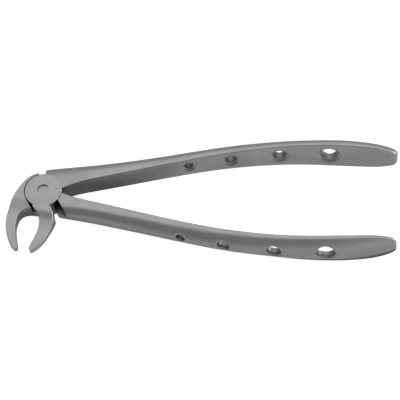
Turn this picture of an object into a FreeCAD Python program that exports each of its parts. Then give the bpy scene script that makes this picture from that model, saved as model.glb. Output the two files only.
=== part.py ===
import FreeCAD, Part
import math
import os

from FreeCAD import Vector

# Dental extraction forceps with a lap joint, lying on its side.
# Row frame: the origin is on the pivot axis at the joint's lower flat face, +Z is the pivot axis,
# +X runs between the two handles towards their free ends, and the beaks point to -Y.
# Every shape is modelled about the joint's mid-plane and raised by half the joint at the end.
# Lengths are in millimetres and angles in degrees.

# Lap joint
JOINT_THICKNESS = 9.0
HALF = JOINT_THICKNESS / 2
DISC_RADIUS = 8.0
LAP_GAP = 0.10
SHOULDER_RADIUS = DISC_RADIUS + 0.25
RIM_ROUND = 0.25

# Pivot rivet, peened into a countersink at each face: flush at the back, just below the front face
RIVET_SHANK_RADIUS = 2.0
RIVET_END_RADIUS = 2.6
RIVET_FLARE_LENGTH = 1.2
RIVET_END_BAND = 1.0
RIVET_RECESS = 0.6
RIVET_RUNNING_CLEARANCE = 0.05

# Handles: each profile is a list of (x, value) stations with a smooth curve through them
HANDLE_START = 0.0
HANDLE_END = 148.2
INNER_FACE_Y = [(0, -2.8), (8, 0.9), (13, 3.25), (33, 8.4), (62, 15.35), (77, 18.4), (92, 20.5),
                (107, 21.7), (127, 21.6), (148, 20.2)]
HANDLE_DEPTH = [(0, 9.0), (9, 9.0), (20, 10.4), (47, 11.0), (62, 11.4), (92, 13.4), (125, 15.9), (138, 14.6),
                (143, 12.4), (146, 9.8), (147.4, 7.8), (148.2, 5.4)]
UPPER_THICKNESS = [(0, 14.7), (8, 12.7), (13, 10.5), (20, 9.0), (33, 7.6), (50, 6.5), (65, 6.1), (82, 5.8),
                   (107, 5.4), (127, 5.5), (140, 4.8), (146, 4.1), (148.2, 3.3)]
LOWER_THICKNESS = [(0, 10.9), (8, 9.4), (13, 7.8), (20, 6.7), (33, 6.2), (50, 5.9), (65, 5.7), (82, 5.4),
                   (107, 4.7), (127, 4.4), (140, 3.0), (146, 2.1), (148.2, 1.6)]
SIDE_WALL_HEIGHT = [(0, 5.2), (15, 3.4), (35, 2.4), (50, 1.8), (75, 1.2), (138, 1.0), (148.2, 0.8)]
CROWN_EXPONENT = [(0, 2.4), (20, 2.2), (50, 2.0), (148, 2.0)]
INNER_EDGE_ROUND = 0.45
SECTION_COUNT = 17
END_STATIONS = [133.0, 138.0, 142.0, 145.0, 147.0]
CROWN_POINTS = 9
END_CHAMFER_ANGLE = -45.0
END_CHAMFER_DEPTH = 0.8

# Lightening holes through each handle: station along the handle and diameter. Each is rounded at the
# crowned face and opens into a countersink at the flat inner face.
LIGHTENING_HOLES = [(60.4, 3.7), (78.1, 4.9), (98.6, 5.8), (119.5, 7.7)]
HOLE_RIM_ROUND = 1.25
HOLE_SINK_WIDTH = 1.4
HOLE_SINK_DEPTH = 0.8
HOLE_SINK_OVERLAP = 0.3
HOLE_TOOL_LENGTH = 20.0
HOLE_TOOL_START = -5.0

# Sloped end of a handle root, where it steps back from the other half's beak
ROOT_END_ANGLE = -57.0
ROOT_END_OFFSET = 3.1
ROOT_WEB_OFFSET = 0.8
ROOT_STEP_X = -0.2

# Beaks, seen along the pivot axis, at the rest opening
BEAK_AXIS_ANGLE = -100.6
DISTAL_OUTER = [(-1.2, 7.9), (-3.2, 8.35), (-5.3, 7.5), (-7.8, 5.4), (-10.6, 1.0), (-12.9, -4.4),
                (-14.25, -9.8), (-14.6, -14.8), (-14.0, -18.9), (-12.8, -22.4), (-11.4, -25.2),
                (-9.6, -27.2)]
DISTAL_INNER = [(-8.3, -26.4), (-9.05, -22.6), (-10.1, -18.2), (-10.15, -13.6), (-9.2, -10.7), (-7.8, -9.2),
                (-5.9, -8.5), (-4.3, -8.35), (-2.9, -8.7)]
PROXIMAL_INNER = [(-3.7, -8.0), (-2.2, -9.8), (-0.8, -11.9), (-0.35, -14.3), (-0.65, -17.6), (-2.1, -22.2),
                  (-3.6, -26.5)]
PROXIMAL_OUTER = [(-2.5, -28.2), (0.8, -25.4), (4.5, -18.0), (5.65, -13.4), (4.6, -8.3)]
# Half depth of a beak at a distance along the beak axis: flush with the joint, then tapering
TAPER_BLOCK_REACH = 30.0
DISTAL_TAPER = [(4.0, 4.5), (10.0, 3.1), (15.0, 2.3), (22.0, 1.6), (30.5, 1.0)]
PROXIMAL_TAPER = [(8.5, 4.5), (11.5, 3.4), (15.0, 2.2), (21.0, 1.5), (30.5, 1.0)]
BEAK_BACK_ROUND = 0.9
LIP_ROUND = 0.3
BEAK_INNER_ROUND = 0.3
NOTCH_CUT_ANGLE = 214.0
NOTCH_CUT_OFFSET = SHOULDER_RADIUS + 0.12
# The distal half's lip round the joint ends bluntly where it has thinned out
LIP_END_ANGLE = 109.0
# The proximal beak's root is cut back under the joint so that the forceps can close and open
PROXIMAL_CLEAR_LEFT = 262.0
PROXIMAL_CLEAR_RIGHT = 295.0
CLEARANCE_REACH = 12.8

BIG = 200.0


def value_at(stations, x):
    """Smooth curve through the stations, with the slope at each one from its neighbours."""
    if x <= stations[0][0]:
        return stations[0][1]
    if x >= stations[-1][0]:
        return stations[-1][1]
    last = len(stations) - 1
    i = max(k for k in range(last) if stations[k][0] <= x)

    def slope(k):
        low, high = max(k - 1, 0), min(k + 1, last)
        return (stations[high][1] - stations[low][1]) / (stations[high][0] - stations[low][0])

    span = stations[i + 1][0] - stations[i][0]
    t = (x - stations[i][0]) / span
    from_value = stations[i][1] * (2 * t**3 - 3 * t**2 + 1) + stations[i + 1][1] * (3 * t**2 - 2 * t**3)
    from_slope = slope(i) * (t**3 - 2 * t**2 + t) + slope(i + 1) * (t**3 - t**2)
    return from_value + from_slope * span


def spline_edge(points):
    curve = Part.BSplineCurve()
    curve.interpolate(points)
    return curve.toShape()


def straight_edge(start, end):
    return Part.LineSegment(start, end).toShape()


def plate(edges, low, high):
    """Solid with the closed outline given by the edges, from one height to another."""
    face = Part.Face(Part.Wire(Part.__sortEdges__(edges)))
    face.translate(Vector(0, 0, low))
    return face.extrude(Vector(0, 0, high - low))


def cylinder(radius, low, high):
    return Part.makeCylinder(radius, high - low, Vector(0, 0, low))


def half_space(angle, offset, low, high):
    """Block on the far side of a vertical plane: normal at this angle, this far from the pivot."""
    block = Part.makeBox(BIG, 2 * BIG, high - low, Vector(offset, -BIG, low))
    block.rotate(Vector(0, 0, 0), Vector(0, 0, 1), angle)
    return block


def sector(start_angle, end_angle, reach, low, high):
    return Part.makeCylinder(reach, high - low, Vector(0, 0, low), Vector(0, 0, 1),
                             end_angle - start_angle).rotated(Vector(0, 0, 0), Vector(0, 0, 1), start_angle)


# --- Handles -------------------------------------------------------------------------------------

def handle_frame(x):
    """Point on the inner face's centre line, with the directions along and out of the handle."""
    step = 0.5
    rise = value_at(INNER_FACE_Y, x + step) - value_at(INNER_FACE_Y, x - step)
    run = min(x + step, HANDLE_END) - max(x - step, HANDLE_START)
    along = Vector(run, rise, 0).normalize()
    outward = Vector(-along.y, along.x, 0)
    return Vector(x, value_at(INNER_FACE_Y, x), 0), along, outward


def handle_section(x, thickness_profile):
    """Flat inner face, short side walls and a crowned back."""
    origin, _, outward = handle_frame(x)
    half_depth = value_at(HANDLE_DEPTH, x) / 2
    thickness = value_at(thickness_profile, x)
    wall = value_at(SIDE_WALL_HEIGHT, x)
    exponent = value_at(CROWN_EXPONENT, x)
    corner = INNER_EDGE_ROUND

    def at(out, up):
        return origin + outward * out + Vector(0, 0, up)

    def crown_point(angle):
        up = math.copysign(abs(math.cos(angle)) ** (2 / exponent), math.cos(angle))
        out = math.sin(angle) ** (2 / exponent)
        return at(wall + (thickness - wall) * out, half_depth * up)

    steps = CROWN_POINTS - 1
    crown = [crown_point(math.pi * i / steps) for i in range(CROWN_POINTS)]
    crown[0] = at(wall, half_depth)
    crown[-1] = at(wall, -half_depth)
    edges = [
        straight_edge(at(0, corner - half_depth), at(0, half_depth - corner)),
        corner_edge(at(0, half_depth - corner), at(0, half_depth), at(corner, half_depth)),
        straight_edge(at(corner, half_depth), crown[0]),
        crown_edge(crown, outward),
        straight_edge(crown[-1], at(corner, -half_depth)),
        corner_edge(at(corner, -half_depth), at(0, -half_depth), at(0, corner - half_depth)),
    ]
    return Part.Wire(edges)


def corner_edge(start, corner, end):
    curve = Part.BezierCurve()
    curve.setPoles([start, corner, end])
    return curve.toShape()


def crown_edge(points, outward):
    """Every crown has the same knots, so the loft's surface stays light."""
    curve = Part.BSplineCurve()
    knots = [i / (len(points) - 1) for i in range(len(points))]
    curve.interpolate(Points=points, Parameters=knots, InitialTangent=outward, FinalTangent=-outward)
    return curve.toShape()


def handle_bar(thickness_profile):
    """The upper handle from inside the joint to its free end, with its holes."""
    length = END_STATIONS[0] - HANDLE_START
    stations = [HANDLE_START + length * i / SECTION_COUNT for i in range(SECTION_COUNT)]
    stations += END_STATIONS + [HANDLE_END]
    bar = Part.makeLoft([handle_section(x, thickness_profile) for x in stations], True, False)
    bar = bar.cut(end_chamfer_tool())
    for station, diameter in LIGHTENING_HOLES:
        origin, _, outward = handle_frame(station)
        tool = Part.makeCylinder(diameter / 2, HOLE_TOOL_LENGTH, origin + outward * HOLE_TOOL_START,
                                 outward)
        bar = bar.cut(tool)
        bar = bar.makeFillet(HOLE_RIM_ROUND, outer_rim(bar, tool, origin, outward))
        bar = bar.cut(hole_countersink(diameter / 2, origin, outward))
    return bar


def hole_countersink(radius, origin, outward):
    """Cone that widens from the hole to the flat inner face, and on past it."""
    slope = HOLE_SINK_WIDTH / HOLE_SINK_DEPTH
    wide = radius + HOLE_SINK_WIDTH + slope * HOLE_SINK_OVERLAP
    return Part.makeCone(wide, radius, HOLE_SINK_DEPTH + HOLE_SINK_OVERLAP,
                         origin - outward * HOLE_SINK_OVERLAP, outward)


def outer_rim(shape, tool, origin, axis):
    """The edges round the mouth of this tool's hole in the crowned face."""
    wall = tool.Faces[0]
    found = []
    for edge in shape.Edges:
        inside = (edge.FirstParameter * 2 + edge.LastParameter) / 3
        along_hole = abs(edge.tangentAt(inside).dot(axis)) > 0.99
        outside = (edge.valueAt(inside) - origin).dot(axis) > 1
        if outside and not along_hole and wall.distToShape(Part.Vertex(edge.valueAt(inside)))[0] < 0.001:
            found.append(edge)
    return found


def end_chamfer_tool():
    """Everything beyond the slanted flat between the inner face and the handle's end."""
    angle = math.radians(END_CHAMFER_ANGLE)
    corner_y = value_at(INNER_FACE_Y, HANDLE_END)
    reach = HANDLE_END * math.cos(angle) + corner_y * math.sin(angle)
    return half_space(END_CHAMFER_ANGLE, reach - END_CHAMFER_DEPTH, -BIG, BIG)


def mirrored(shape):
    """The same handle on the other side, reflected across the plane between the handles."""
    return shape.mirror(Vector(0, 0, 0), Vector(0, 1, 0))


# --- Beaks ---------------------------------------------------------------------------------------

def beak_plate(left_side, right_side):
    """Beak outline down to the tip and back, closed through the pivot so that it joins the disc."""
    pivot = Vector(0, 0, 0)
    left = [Vector(x, y, 0) for x, y in left_side]
    right = [Vector(x, y, 0) for x, y in right_side]
    edges = [
        straight_edge(pivot, left[0]),
        spline_edge(left),
        straight_edge(left[-1], right[0]),
        spline_edge(right),
        straight_edge(right[-1], pivot),
    ]
    return plate(edges, -HALF, HALF)


def taper_block(stations):
    """Block that tapers in depth along the beak axis and is wide enough for any beak."""
    upper = [Vector(s, 0, h) for s, h in stations]
    lower = [Vector(s, 0, -h) for s, h in reversed(stations)]
    flat = Vector(1, 0, 0)
    closing = (upper[-1] - upper[-2]).normalize()
    top = Part.BSplineCurve()
    top.interpolate(Points=upper, InitialTangent=flat, FinalTangent=closing)
    bottom = Part.BSplineCurve()
    bottom.interpolate(Points=lower, InitialTangent=Vector(-closing.x, 0, closing.z), FinalTangent=-flat)
    start = -TAPER_BLOCK_REACH
    edges = [
        straight_edge(Vector(start, 0, HALF), upper[0]),
        top.toShape(),
        straight_edge(upper[-1], lower[0]),
        bottom.toShape(),
        straight_edge(lower[-1], Vector(start, 0, -HALF)),
        straight_edge(Vector(start, 0, -HALF), Vector(start, 0, HALF)),
    ]
    block = Part.Face(Part.Wire(edges)).extrude(Vector(0, 2 * TAPER_BLOCK_REACH, 0))
    block.translate(Vector(0, -TAPER_BLOCK_REACH, 0))
    block.rotate(Vector(0, 0, 0), Vector(0, 0, 1), BEAK_AXIS_ANGLE)
    return block


def edges_along(shape, points, side=0):
    """Edges of the shape that follow this outline: above the mid-plane, below it, or both."""
    wall = spline_edge([Vector(x, y, 0) for x, y in points]).extrude(Vector(0, 0, 1))
    wall.translate(Vector(0, 0, -0.5))
    found = []
    for edge in shape.Edges:
        middle = edge.valueAt((edge.FirstParameter + edge.LastParameter) / 2)
        flat_middle = Part.Vertex(Vector(middle.x, middle.y, 0))
        upright = abs(edge.tangentAt(edge.FirstParameter).z) > 0.9
        if middle.z * side >= 0 and not upright and wall.distToShape(flat_middle)[0] < 0.01:
            found.append(edge)
    return found


def distal_beak():
    beak = beak_plate(DISTAL_OUTER, DISTAL_INNER).common(taper_block(DISTAL_TAPER)).Solids[0]
    beak = beak.makeFillet(BEAK_BACK_ROUND, edges_along(beak, DISTAL_OUTER, -1))
    beak = beak.makeFillet(LIP_ROUND, edges_along(beak, DISTAL_OUTER, 1))
    return beak.makeFillet(BEAK_INNER_ROUND, edges_along(beak, DISTAL_INNER))


def proximal_beak():
    beak = beak_plate(PROXIMAL_INNER, PROXIMAL_OUTER).common(taper_block(PROXIMAL_TAPER)).Solids[0]
    beak = beak.makeFillet(BEAK_BACK_ROUND, edges_along(beak, PROXIMAL_OUTER))
    return beak.makeFillet(BEAK_INNER_ROUND, edges_along(beak, PROXIMAL_INNER))


# --- Halves --------------------------------------------------------------------------------------

def rivet_profile(clearance, back_end, front_end):
    """Turned about the pivot axis: a shank that flares to a short band at each face of the joint."""
    shank = RIVET_SHANK_RADIUS + clearance
    end = RIVET_END_RADIUS + clearance
    band = HALF - RIVET_END_BAND
    flare = band - RIVET_FLARE_LENGTH
    points = [
        Vector(0, 0, back_end),
        Vector(end, 0, back_end),
        Vector(end, 0, -band),
        Vector(shank, 0, -flare),
        Vector(shank, 0, flare),
        Vector(end, 0, band),
        Vector(end, 0, front_end),
        Vector(0, 0, front_end),
        Vector(0, 0, back_end),
    ]
    return Part.Face(Part.makePolygon(points)).revolve(Vector(0, 0, 0), Vector(0, 0, 1), 360)


def pivot_rivet():
    return rivet_profile(0, -HALF, HALF - RIVET_RECESS)


def leaf(low, high):
    """Round leaf of the lap joint, its rim softened at the outer face."""
    disc = cylinder(DISC_RADIUS, low, high)
    outer = [e for e in disc.Edges if e.Closed and abs(abs(e.CenterOfMass.z) - HALF) < 0.001]
    return disc.makeFillet(RIM_ROUND, outer)


def rear_half():
    """Lower handle and distal beak; its disc is the joint's lower leaf."""
    disc = leaf(-HALF, -LAP_GAP / 2)
    handle = mirrored(handle_bar(LOWER_THICKNESS))
    handle = handle.common(half_space(ROOT_END_ANGLE + 90, ROOT_WEB_OFFSET, -BIG, BIG))
    beak = distal_beak()
    level = (-LAP_GAP / 2, BIG)
    handle = handle.cut(half_space(ROOT_END_ANGLE - 90, -ROOT_END_OFFSET, *level))
    beak = beak.cut(half_space(NOTCH_CUT_ANGLE + 180, -NOTCH_CUT_OFFSET, *level).common(
        half_space(NOTCH_CUT_ANGLE + 90, 0, *level)))
    beak = beak.cut(sector(LIP_END_ANGLE - 90, LIP_END_ANGLE, CLEARANCE_REACH, *level))
    half = disc.fuse([handle, beak])
    half = half.cut(cylinder(SHOULDER_RADIUS, *level))
    half = half.cut(rivet_profile(0, -HALF - 1, HALF + 1))
    return half.removeSplitter()


def front_half():
    """Upper handle and proximal beak; its disc is the joint's upper leaf."""
    disc = leaf(LAP_GAP / 2, HALF)
    level = (-BIG, LAP_GAP / 2)
    handle = handle_bar(UPPER_THICKNESS).common(half_space(0, ROOT_STEP_X, -BIG, BIG))
    handle = handle.cut(half_space(90 - ROOT_END_ANGLE, -ROOT_END_OFFSET, *level))
    beak = proximal_beak()
    beak = beak.cut(sector(PROXIMAL_CLEAR_LEFT - 60, PROXIMAL_CLEAR_LEFT, CLEARANCE_REACH, *level))
    beak = beak.cut(sector(PROXIMAL_CLEAR_RIGHT, PROXIMAL_CLEAR_RIGHT + 60, CLEARANCE_REACH, *level))
    half = disc.fuse([handle, beak])
    half = half.cut(cylinder(SHOULDER_RADIUS, *level))
    half = half.cut(rivet_profile(RIVET_RUNNING_CLEARANCE, -HALF - 1, HALF + 1))
    return half.removeSplitter()


def export(shape, name):
    """Raise the shape so that the joint's lower face is at zero, and write it."""
    shape = shape.copy()
    shape.translate(Vector(0, 0, HALF))
    shape.exportStep(os.path.join("parts", name + ".step"))
    print(name, shape.isValid(), len(shape.Solids), round(shape.Volume, 1), shape.BoundBox)


os.makedirs("parts", exist_ok=True)
export(front_half(), "front_half")
export(rear_half(), "rear_half")
export(pivot_rivet(), "pivot_rivet")
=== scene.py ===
from math import radians

import bpy
from mathutils import Matrix, Vector


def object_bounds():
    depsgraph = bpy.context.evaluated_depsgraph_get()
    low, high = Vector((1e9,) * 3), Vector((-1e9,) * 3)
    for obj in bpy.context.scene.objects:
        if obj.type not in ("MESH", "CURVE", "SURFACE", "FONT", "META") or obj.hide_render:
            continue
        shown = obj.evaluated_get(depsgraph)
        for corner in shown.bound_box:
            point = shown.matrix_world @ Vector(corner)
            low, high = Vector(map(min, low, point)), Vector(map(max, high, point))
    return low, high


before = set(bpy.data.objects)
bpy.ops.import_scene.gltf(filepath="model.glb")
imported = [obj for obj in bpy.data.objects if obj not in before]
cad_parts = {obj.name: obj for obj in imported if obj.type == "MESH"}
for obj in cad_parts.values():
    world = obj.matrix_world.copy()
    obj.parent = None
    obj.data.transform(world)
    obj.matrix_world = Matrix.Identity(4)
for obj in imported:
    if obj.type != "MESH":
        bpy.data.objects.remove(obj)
cad_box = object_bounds()

# Dental extraction forceps: two forged halves and the rivet that joins them. The CAD nodes are shown as
# they are. This script gives them their steel, and sets up a camera, a light, a floor and a surround.

MM = 0.001

# Camera: the point it looks at and how far away it stands, in metres, and its angles in degrees. The
# azimuth takes it from the front (-Y) towards +X, the elevation lifts it, and the roll tilts it sideways.
CAMERA_AIM = (0.06624, -0.00116, 0.0045)
CAMERA_DISTANCE = 0.70928
CAMERA_AZIMUTH = 11.937
CAMERA_ELEVATION = 57.907
CAMERA_ROLL = -9.288
CAMERA_LENS = 152.3
CAMERA_SENSOR = 36.0
CAMERA_CLIP = (0.01, 50.0)

# Steel: the scale per metre, detail and roughness of each of its noises
CLOUDS = (90.0, 4.0, 0.55)
MOTTLE = (900.0, 3.0, 0.6)
GRAIN = (9000.0, 2.0, 0.7)
CLOUD_SHARE = 0.6
MOTTLE_SHARE = 0.4

# Steel: a noise's low and high values, and how far the tone and the grain move the roughness
NOISE_SPAN = (0.3, 0.7)
ROUGHNESS_SWING = 0.03

# Steel: the width of a rubbed edge, the cosines of the bend where rubbing starts and where it is full,
# the mottle values where it is least and most, and what it does to the tone and the roughness
RUBBED_WIDTH = 0.35 * MM
RUBBED_BEND = (0.995, 0.90)
RUBBED_PATCHES = (0.25, 0.6)
LEAST_RUBBED = 0.35
RUBBED_BLEND = 0.7
RUBBED_POLISH = 0.10
RUBBED_STEEL = (0.78, 0.78, 0.785, 1.0)

# Steel: depth and strength of the bumps
GRAIN_BUMP = (0.02 * MM, 0.35)
MOTTLE_BUMP = (0.04 * MM, 0.2)

# Steel: painted shade darkens the colour in a recess and leaves an open face as it is. The shade factor is
# the lower of two straight lines, given here by their gain and offset, through how open the surface is. It
# doesn't fall below a limit, which rises from the joint to the handles between the two distances from the
# pivot.
PAINTED_SHADE_REACH = 40.0 * MM
OPEN_PAINTED_SHADE_LINE = (1.2, -0.10)
DEEP_PAINTED_SHADE_LINE = (2.0, -0.62)
JOINT_PAINTED_SHADE_LIMIT = 0.20
HANDLE_PAINTED_SHADE_LIMIT = 0.65
PAINTED_SHADE_LIMIT_RISE = (25.0 * MM, 65.0 * MM)

# Steel: the darker and lighter tones of the two finishes, and their roughness
FORGED_TONES = ((0.51, 0.51, 0.512, 1.0), (0.59, 0.59, 0.592, 1.0))
FORGED_ROUGHNESS = 0.42
RIVET_TONES = ((0.49, 0.49, 0.492, 1.0), (0.58, 0.58, 0.582, 1.0))
RIVET_ROUGHNESS = 0.40

# Samples taken by the two shader nodes that trace rays
EDGE_SAMPLES = 6
PAINTED_SHADE_SAMPLES = 12

# Floor: a plain pale sheet just under the object
FLOOR_SIZE = 6.0
FLOOR_DROP = 0.0004
FLOOR_TONES = ((0.40, 0.40, 0.40, 1.0), (0.41, 0.41, 0.41, 1.0))
FLOOR_CLOUD_SCALE = 8.0
FLOOR_ROUGHNESS = 0.9
FLOOR_GLOW = 0.93

# Light: one softbox beyond the handles, to the right
SOFTBOX_AT = (1.4, 0.3, 0.35)
SOFTBOX_AIM = (0.07, 0.0, 0.0)
SOFTBOX_SIZE = 0.5
SOFTBOX_POWER = 5.0

# Surround: an even level with four glows added to it. A glow has an axis, the cosines of the angles from
# that axis between which it grows from nothing to full, and its full level. The overhead glow also fades
# out towards the horizon, between two heights, each the sine of an elevation.
EVEN_LEVEL = 0.22
OVERHEAD_GLOW = ((0.0, 0.55, 0.84), (0.4, 0.985), 0.53)
BACK_GLOW = ((0.0, 1.0, 0.0), (0.0, 1.0), 0.10)
BELOW_GLOW = ((0.0, 0.0, 1.0), (-0.15, -0.7), 0.37)
FRONT_RIGHT_GLOW = ((1.0, -0.6, 0.0), (0.2, 0.9), 0.20)
OVERHEAD_HEIGHTS = (0.35, 0.85)

WHITE = (1.0, 1.0, 1.0, 1.0)


# --- Node helpers --------------------------------------------------------------------------------

class Graph:
    """Short calls for building a node tree."""

    def __init__(self, tree):
        self.tree = tree
        tree.nodes.clear()

    def node(self, kind, inputs=None, **settings):
        made = self.tree.nodes.new(kind)
        for name, value in settings.items():
            setattr(made, name, value)
        for key, value in (inputs or {}).items():
            self.feed(made.inputs[key], value)
        return made

    def feed(self, socket, value):
        if isinstance(value, bpy.types.NodeSocket):
            self.tree.links.new(value, socket)
        else:
            socket.default_value = value

    def math(self, operation, a, b, clamp=False):
        made = self.node("ShaderNodeMath", {0: a, 1: b}, operation=operation, use_clamp=clamp)
        return made.outputs[0]

    def line(self, value, gain, offset):
        return self.math("ADD", self.math("MULTIPLY", value, gain), offset)

    def dot(self, a, b):
        made = self.node("ShaderNodeVectorMath", {0: a, 1: b}, operation="DOT_PRODUCT")
        return made.outputs["Value"]

    def noise(self, vector, scale, detail=2.0, roughness=0.5):
        made = self.node("ShaderNodeTexNoise", {
            "Vector": vector, "Scale": scale, "Detail": detail, "Roughness": roughness,
        })
        return made.outputs["Fac"]

    def ramp(self, value, low, high, to_low, to_high):
        """A smooth step from to_low at low to to_high at high."""
        made = self.node("ShaderNodeMapRange", {
            "Value": value, "From Min": low, "From Max": high, "To Min": to_low, "To Max": to_high,
        }, interpolation_type="SMOOTHSTEP")
        return made.outputs["Result"]

    def mix_colour(self, factor, a, b):
        made = self.node("ShaderNodeMix", data_type="RGBA")
        self.feed(made.inputs["Factor"], factor)
        self.feed(made.inputs["A"], a)
        self.feed(made.inputs["B"], b)
        return made.outputs["Result"]

    def bump(self, height, distance, strength, normal=None):
        made = self.node("ShaderNodeBump", {
            "Height": height, "Distance": distance, "Strength": strength,
        })
        if normal is not None:
            self.feed(made.inputs["Normal"], normal)
        return made.outputs["Normal"]

    def finish(self, kind, shader):
        out = self.node(kind)
        self.feed(out.inputs["Surface"], shader.outputs[0])


def material(name):
    made = bpy.data.materials.new(name)
    made.use_nodes = True
    return made, Graph(made.node_tree)


# --- Materials -----------------------------------------------------------------------------------

def rubbed_edge(g, mottle):
    """How rubbed the surface is: patchy, and only along the edges."""
    surface = g.node("ShaderNodeNewGeometry").outputs["Normal"]
    rounded = g.node("ShaderNodeBevel", {"Radius": RUBBED_WIDTH}, samples=EDGE_SAMPLES)
    edge = g.ramp(g.dot(surface, rounded.outputs["Normal"]), *RUBBED_BEND, 0.0, 1.0)
    return g.math("MULTIPLY", edge, g.ramp(mottle, *RUBBED_PATCHES, LEAST_RUBBED, 1.0))


def painted_recess_shade(g, place):
    """The factor of painted shade that darkens a recess, 1 on an open face."""
    hollow = g.node("ShaderNodeAmbientOcclusion", {"Distance": PAINTED_SHADE_REACH}, samples=PAINTED_SHADE_SAMPLES)
    openness = hollow.outputs["AO"]
    recess = g.math("MINIMUM", g.line(openness, *OPEN_PAINTED_SHADE_LINE), g.line(openness, *DEEP_PAINTED_SHADE_LINE),
                    clamp=True)
    along = g.node("ShaderNodeSeparateXYZ", {"Vector": place}).outputs["X"]
    shade_limit = g.ramp(along, *PAINTED_SHADE_LIMIT_RISE, JOINT_PAINTED_SHADE_LIMIT, HANDLE_PAINTED_SHADE_LIMIT)
    return g.math("MAXIMUM", recess, shade_limit)


def satin_steel(name, tones, rough, paint_recess_shade):
    """Fine bead-blasted stainless steel, with a cloudy tone, a fine grain and bright rubbed edges, and,
    where asked, painted shade darkening its recesses.
    """
    made, g = material(name)
    place = g.node("ShaderNodeNewGeometry").outputs["Position"]
    clouds = g.noise(place, *CLOUDS)
    mottle = g.noise(place, *MOTTLE)
    grain = g.noise(place, *GRAIN)
    tone = g.math("ADD", g.math("MULTIPLY", clouds, CLOUD_SHARE), g.math("MULTIPLY", mottle, MOTTLE_SHARE))
    colour = g.mix_colour(g.ramp(tone, *NOISE_SPAN, 0.0, 1.0), *tones)

    edge = rubbed_edge(g, mottle)
    colour = g.mix_colour(g.math("MULTIPLY", edge, RUBBED_BLEND), colour, RUBBED_STEEL)
    # Painted shade: the colour is scaled down in the recesses, most of all near the joint.
    if paint_recess_shade:
        shade = g.node("ShaderNodeVectorMath", {0: colour, "Scale": painted_recess_shade(g, place)},
                       operation="SCALE")
        colour = shade.outputs["Vector"]

    roughness = g.math("ADD", g.ramp(tone, *NOISE_SPAN, rough + ROUGHNESS_SWING, rough - ROUGHNESS_SWING),
                       g.ramp(grain, *NOISE_SPAN, -ROUGHNESS_SWING, ROUGHNESS_SWING))
    roughness = g.math("SUBTRACT", roughness, g.math("MULTIPLY", edge, RUBBED_POLISH))
    normal = g.bump(grain, *GRAIN_BUMP)
    normal = g.bump(mottle, *MOTTLE_BUMP, normal)
    g.finish("ShaderNodeOutputMaterial", g.node("ShaderNodeBsdfPrincipled", {
        "Base Color": colour, "Metallic": 1.0, "Roughness": roughness, "Normal": normal,
    }))
    return made


def floor_material():
    made, g = material("floor_white")
    place = g.node("ShaderNodeNewGeometry").outputs["Position"]
    colour = g.mix_colour(g.noise(place, FLOOR_CLOUD_SCALE), *FLOOR_TONES)
    g.finish("ShaderNodeOutputMaterial", g.node("ShaderNodeBsdfPrincipled", {
        "Base Color": colour, "Roughness": FLOOR_ROUGHNESS, "Emission Color": WHITE,
        "Emission Strength": FLOOR_GLOW,
    }))
    return made


# --- Object --------------------------------------------------------------------------------------

# The forged halves get painted shade in their recesses; the rivet gets none.
forged = satin_steel("forged_satin_steel", FORGED_TONES, FORGED_ROUGHNESS, paint_recess_shade=True)
turned = satin_steel("rivet_satin_steel", RIVET_TONES, RIVET_ROUGHNESS, paint_recess_shade=False)

for node_name, steel in (("front_half", forged), ("rear_half", forged), ("pivot_rivet", turned)):
    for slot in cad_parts[node_name].material_slots:
        slot.material = steel


# --- Camera, light, floor and surround -----------------------------------------------------------

def make_camera():
    data = bpy.data.cameras.new("camera")
    data.sensor_width = CAMERA_SENSOR
    data.lens = CAMERA_LENS
    data.clip_start, data.clip_end = CAMERA_CLIP
    turn = (Matrix.Rotation(radians(CAMERA_AZIMUTH), 4, "Z")
            @ Matrix.Rotation(radians(90.0 - CAMERA_ELEVATION), 4, "X")
            @ Matrix.Rotation(radians(CAMERA_ROLL), 4, "Z"))
    stand_back = Matrix.Translation((0.0, 0.0, CAMERA_DISTANCE))
    camera = bpy.data.objects.new("camera", data)
    camera.matrix_world = Matrix.Translation(CAMERA_AIM) @ turn @ stand_back
    bpy.context.scene.collection.objects.link(camera)
    bpy.context.scene.camera = camera


def make_softbox():
    data = bpy.data.lights.new("side_softbox", "AREA")
    data.shape = "SQUARE"
    data.size = SOFTBOX_SIZE
    data.energy = SOFTBOX_POWER
    light = bpy.data.objects.new("side_softbox", data)
    light.location = SOFTBOX_AT
    light.rotation_mode = "QUATERNION"
    light.rotation_quaternion = (Vector(SOFTBOX_AIM) - Vector(SOFTBOX_AT)).to_track_quat("-Z", "Y")
    bpy.context.scene.collection.objects.link(light)


def make_floor(height):
    """The floor, which the steel doesn't reflect: only the surround lights the object from below."""
    half = FLOOR_SIZE / 2
    mesh = bpy.data.meshes.new("floor")
    corners = [(-half, -half, height), (half, -half, height), (half, half, height), (-half, half, height)]
    mesh.from_pydata(corners, [], [(0, 1, 2, 3)])
    mesh.materials.append(floor_material())
    floor = bpy.data.objects.new("floor", mesh)
    floor.visible_glossy = False
    floor.visible_diffuse = False
    bpy.context.scene.collection.objects.link(floor)


def make_surround():
    """Soft studio surround, with glows from overhead, from behind, from below and from the front right."""
    world = bpy.data.worlds.new("studio")
    world.use_nodes = True
    bpy.context.scene.world = world
    g = Graph(world.node_tree)
    direction = g.node("ShaderNodeTexCoord").outputs["Generated"]

    def glow(axis, cosines, level):
        return g.ramp(g.dot(direction, Vector(axis).normalized()), *cosines, 0.0, level)

    height = g.dot(direction, (0.0, 0.0, 1.0))
    overhead = g.math("MULTIPLY", glow(*OVERHEAD_GLOW), g.ramp(height, *OVERHEAD_HEIGHTS, 0.0, 1.0))
    level = g.math("ADD", overhead, EVEN_LEVEL)
    for each in (BACK_GLOW, BELOW_GLOW, FRONT_RIGHT_GLOW):
        level = g.math("ADD", level, glow(*each))
    g.finish("ShaderNodeOutputWorld", g.node("ShaderNodeBackground", {"Color": WHITE, "Strength": level}))


bpy.context.scene.view_settings.view_transform = "Standard"
make_camera()
make_floor(cad_box[0].z - FLOOR_DROP)
make_surround()
make_softbox()
